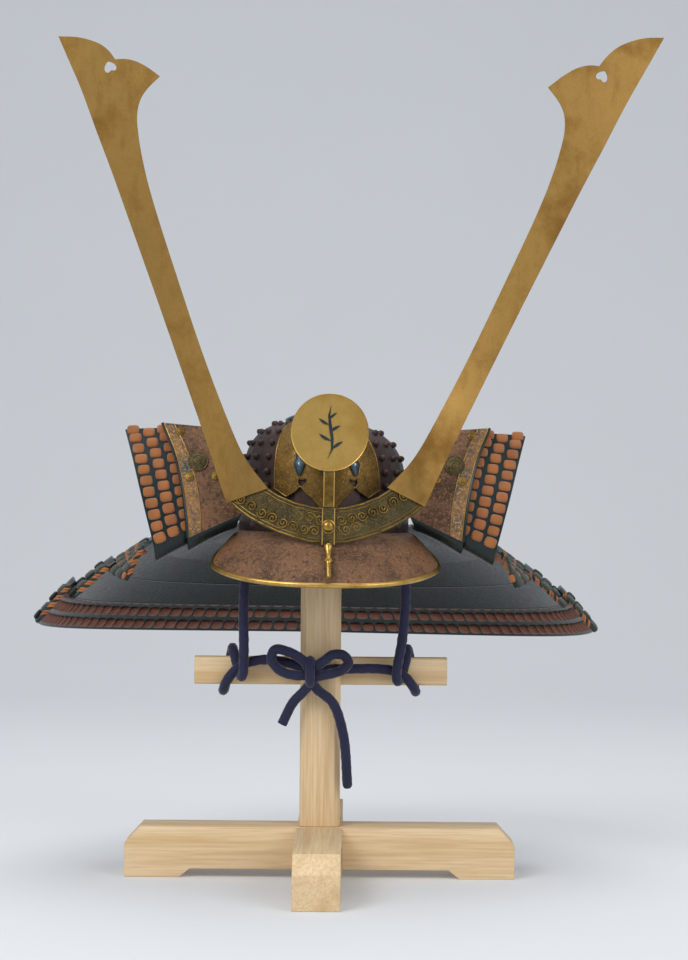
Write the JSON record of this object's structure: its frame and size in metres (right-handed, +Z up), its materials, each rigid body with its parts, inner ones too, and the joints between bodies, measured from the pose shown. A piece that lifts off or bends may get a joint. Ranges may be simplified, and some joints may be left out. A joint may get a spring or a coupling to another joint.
{
  "type": "kabuto samurai helmet on a wooden display stand",
  "caption": "Samurai helmet with horned crest, flared neck guard and visor, worn to protect the head, shown on a plain wooden stand with its chin cord tied.",
  "frame": {"origin": "on the floor, at the middle of the bounding box's underside", "axes": "+Z up, the helmet looks along -Y and is turned about 3 degrees towards +X, +X is on the viewer's right"},
  "size_m": [0.6916, 0.5182, 0.9306],
  "materials": {
    "wood": "pale hinoki, planed and unfinished, straight grain",
    "cord": "braided navy silk cord",
    "iron": "russet iron, dark and dull",
    "steel": "dark blue-grey patinated metal",
    "gilt": "worn gilding",
    "leather": "worn smoke-dyed leather, speckled",
    "bronze": "dark patinated bronze, engraved",
    "brass": "aged brass, dull in patches",
    "lacquer": "dark green-black lacquer over iron, with laced scales"
  },
  "bodies": {
    "root": {"base_beam_side": "wood", "base_beam_front": "wood", "post": "wood", "cross_bar": "wood", "chin_cord_left": "cord", "chin_cord_right": "cord", "cord_turn_left": "cord", "cord_turn_right": "cord", "bow_loop_left": "cord", "bow_loop_right": "cord", "bow_end_left": "cord", "bow_end_right": "cord", "bow_knot": "cord", "bowl": "iron", "base_band": "iron", "crown_ring": "steel", "front_plate": "gilt", "front_leaf_left": "steel", "front_leaf_centre": "steel", "front_leaf_right": "steel", "visor": "leather", "visor_rim": "gilt", "crest_base": "bronze", "crest_strap": "bronze", "crest_rivet": "gilt", "crest_prong": "gilt", "crest_stem": "gilt", "crest_disc": "gilt", "crest_sign": "steel", "horn_left": "brass", "horn_right": "brass", "lame_1": "lacquer", "lame_2": "lacquer", "lame_3": "lacquer", "lame_4": "lacquer", "lame_5": "lacquer", "turnback_facing_left": "leather", "turnback_facing_right": "leather", "boss_left": "bronze", "boss_right": "bronze", "rosette_low_left": "gilt", "rosette_low_right": "gilt", "rosette_middle_left": "gilt", "rosette_middle_right": "gilt", "rosette_top_left": "gilt", "rosette_top_right": "gilt"}
  },
  "joints": []
}
